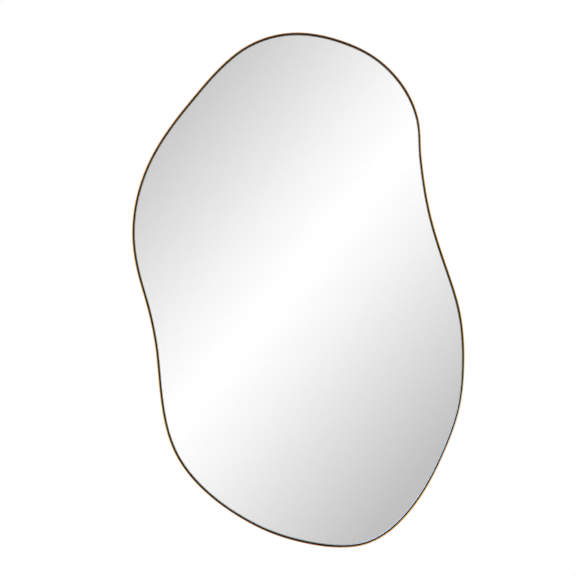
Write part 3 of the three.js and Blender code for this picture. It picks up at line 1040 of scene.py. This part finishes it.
bumperForm = {
    "count": 4,
    "foot": 8 * mm,  # radii
    "waist": 7.6 * mm,
    "contact": (3.2 * mm, 6.4 * mm),
    "footHeight": 1.2 * mm,
    "waistFrom": 1.9 * mm,
    "taper": 1.4 * mm,  # height of the slope up to the contact ring
    "dish": 0.5 * mm,  # depth of the middle
    "edge": 0.35 * mm,
    "edgeSteps": 3,
    "edgeFrom": 25,  # degrees, from which an edge is rounded
    "steps": 48,
}


def makeBumper(number, form):
    node = "wall_bumper_%d" % number
    low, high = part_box(node)
    height = high[1] - low[1]
    inner, outer = form["contact"]
    foot, waist = form["foot"], form["waist"]
    hollow = height - form["dish"]
    line = [(0, 0), (foot, 0), (foot, form["footHeight"]), (waist, form["waistFrom"]),
            (waist, height - form["taper"]), (outer, height), (inner, height),
            (inner - form["dish"], hollow), (0, hollow)]
    body = bmesh.new()
    spinRound(body, drawLine(body, [(x, 0, z) for x, z in line]), form["steps"])
    roundOff(body, sharpEdges(body, form["edgeFrom"]), form["edge"], form["edgeSteps"])
    spot = boxMiddle((low, high))
    spot.y = low[1]
    bmesh.ops.transform(body, matrix=Matrix.Translation(spot) @ standUp, verts=body.verts)
    makePiece("wallBumper%d" % number, body, [blackRubber], node)


for number in range(1, bumperForm["count"] + 1):
    makeBumper(number, bumperForm)
print("bumpers made")


# Studio: white for the camera, a soft diagonal glow for the glass to reflect

studioLook = {
    "backdrop": (1, 1, 1, 1),
    "soft": (0.62, 0.62, 0.62, 1),  # what plain surfaces are lit by
    "glowAxis": (0.766, 0, -0.643),
    "glow": [(0.0, 1.07), (0.028, 0.955), (0.0555, 0.805), (0.0835, 0.655), (0.1015, 0.56),
             (0.2, 0.47), (0.42, 0.58), (0.68, 0.80), (1.0, 0.92)],
    "front": (0.955, 0.985),  # cosines between which the front glow fades to the sides
    "heights": [  # tones of the room from straight below to straight above
        (0.0, (0.88, 0.37, 0.26)), (0.2, (0.88, 0.46, 0.36)), (0.3, (0.72, 0.50, 0.43)),
        (0.5, (0.62, 0.62, 0.62)), (0.66, (0.84, 0.79, 0.76)), (0.74, (0.82, 0.67, 0.62)),
        (0.81, (0.34, 0.14, 0.12)), (0.9, (0.18, 0.053, 0.045)), (1.0, (0.13, 0.036, 0.033))],
    "sideTop": (0.25, 0.55),  # flags and panels end below this height
    "flagFrom": (0.25, 0.40),  # darker flags in front of the side panels
    "flagTone": (0.38, 0.33, 0.28, 1),
    "panelFrom": (0.50, 0.72),
    "panelTone": (1.48, 1.46, 0.72, 1),
    "rearFrom": (0.15, 0.60),  # behind the mirror the room is nearly grey
    "rearColour": 0.15,
    "keyAxis": (-0.44, -0.78, 0.44),  # a large softbox at the upper left
    "keyReach": (0.84, 0.96),
    "keyTone": (1.5, 1.45, 1.8, 1),
    "fillAxis": (0.572, -0.669, -0.476),  # a card at the lower right
    "fillReach": (0.93, 0.985),
    "fillTone": (1.7, 1.55, 1.4, 1),
}


def makeStudio(look):
    world = bpy.data.worlds.new("studio")
    world.use_nodes = True
    bpy.context.scene.world = world
    tree = world.node_tree
    plain = tree.nodes["Background"]
    plain.inputs["Color"].default_value = look["soft"]
    toward = addNode(tree, "ShaderNodeTexCoord").outputs["Generated"]
    parts = addNode(tree, "ShaderNodeSeparateXYZ", {0: toward}).outputs
    across = addMath(tree, "ABSOLUTE", addDot(tree, toward, look["glowAxis"]))
    glow = addRamp(tree, across, look["glow"])
    room = addRamp(tree, addMath(tree, "MULTIPLY_ADD", parts["Z"], 0.5, 0.5), look["heights"])
    beside = addMath(tree, "ABSOLUTE", parts["X"])
    below = addMath(tree, "SUBTRACT", 1.0, addFade(tree, parts["Z"], *look["sideTop"]))
    for part in ("flag", "panel"):
        reached = addMath(tree, "MULTIPLY", addFade(tree, beside, *look[part + "From"]), below)
        room = addBlend(tree, reached, room, look[part + "Tone"])
    calm = addNode(tree, "ShaderNodeHueSaturation", {
        "Saturation": look["rearColour"], "Color": room})
    room = addBlend(tree, addFade(tree, parts["Y"], *look["rearFrom"]), room, calm.outputs[0])
    rays = addNode(tree, "ShaderNodeLightPath").outputs
    room = addBlend(tree, rays["Is Singular Ray"], room, glow)  # the glass itself sees no colours
    for lamp in ("key", "fill"):
        facing = addDot(tree, toward, look[lamp + "Axis"])
        lit = addFade(tree, facing, *look[lamp + "Reach"])
        room = addBlend(tree, lit, room, look[lamp + "Tone"])
    ahead = addFade(tree, addMath(tree, "MULTIPLY", parts["Y"], -1.0), *look["front"])
    seen = addNode(tree, "ShaderNodeBackground", {"Color": addBlend(tree, ahead, room, glow)})
    white = addNode(tree, "ShaderNodeBackground", {"Color": look["backdrop"]})
    whole = plain
    for ray, part in (("Glossy", seen), ("Transmission", seen), ("Camera", white)):
        whole = addNode(tree, "ShaderNodeMixShader", {
            0: rays["Is %s Ray" % ray], 1: whole.outputs[0], 2: part.outputs[0]})
    tree.links.new(whole.outputs[0], tree.nodes["World Output"].inputs["Surface"])


floorForm = {
    "level": -0.75,
    "radius": 2.2,
    "sides": 96,
    "fade": (0.6, 1.25),  # the floor thins out into the backdrop
    "tone": (0.93, 0.93, 0.93, 1),
}


def makeFloor(form):
    body = bmesh.new()
    bmesh.ops.create_circle(body, cap_ends=True, segments=form["sides"], radius=form["radius"],
                            matrix=Matrix.Translation((0, 0, form["level"])))
    mesh = bpy.data.meshes.new("studioFloor")
    body.to_mesh(mesh)
    body.free()
    material, tree, _, place = newFinish(
        "paleFloor", Base_Color=form["tone"], Roughness=0.9, Specular_IOR_Level=0.1)
    flat = addNode(tree, "ShaderNodeVectorMath", {0: place, 1: (1, 1, 0)}, operation="MULTIPLY")
    away = addNode(tree, "ShaderNodeVectorMath", {0: flat.outputs[0]}, operation="LENGTH")
    thin = addFade(tree, away.outputs["Value"], *form["fade"])
    rays = addNode(tree, "ShaderNodeLightPath").outputs
    behind = addNode(tree, "ShaderNodeNewGeometry").outputs["Backfacing"]
    mirrored = addMath(tree, "MAXIMUM", rays["Is Glossy Ray"], rays["Is Transmission Ray"])
    clear = addMath(tree, "MAXIMUM", addMath(tree, "MAXIMUM", thin, behind), mirrored)
    through = addNode(tree, "ShaderNodeBsdfTransparent")
    mixed = addNode(tree, "ShaderNodeMixShader", {
        0: clear, 1: tree.nodes["Principled BSDF"].outputs[0], 2: through.outputs[0]})
    tree.links.new(mixed.outputs[0], tree.nodes["Material Output"].inputs["Surface"])
    mesh.materials.append(material)
    floor = bpy.data.objects.new("studioFloor", mesh)
    bpy.context.collection.objects.link(floor)


lampRig = {
    "frontLeft": {"at": (-2.2, -2.6, 1.6), "size": 1.6, "power": 26},
    "frontRight": {"at": (2.4, -2.2, 0.9), "size": 1.6, "power": 16},
    "rearLeft": {"at": (-2.0, 2.6, 1.8), "size": 1.4, "power": 26},
    "rearRight": {"at": (2.4, 2.2, 0.4), "size": 1.4, "power": 14},
    "above": {"at": (0, -0.3, 2.6), "size": 2.0, "power": 24},
}


def hangLamps(rig):
    for name, lamp in rig.items():
        light = bpy.data.lights.new(name, "AREA")
        light.size = lamp["size"]
        light.energy = lamp["power"]
        softbox = bpy.data.objects.new(name, light)
        softbox.location = lamp["at"]
        softbox.rotation_euler = (-Vector(lamp["at"])).to_track_quat("-Z", "Y").to_euler()
        softbox.visible_camera = False
        softbox.visible_glossy = False
        softbox.visible_transmission = False
        bpy.context.collection.objects.link(softbox)


makeStudio(studioLook)
makeFloor(floorForm)
hangLamps(lampRig)
bpy.context.scene.view_settings.view_transform = "Standard"
print("studio set")
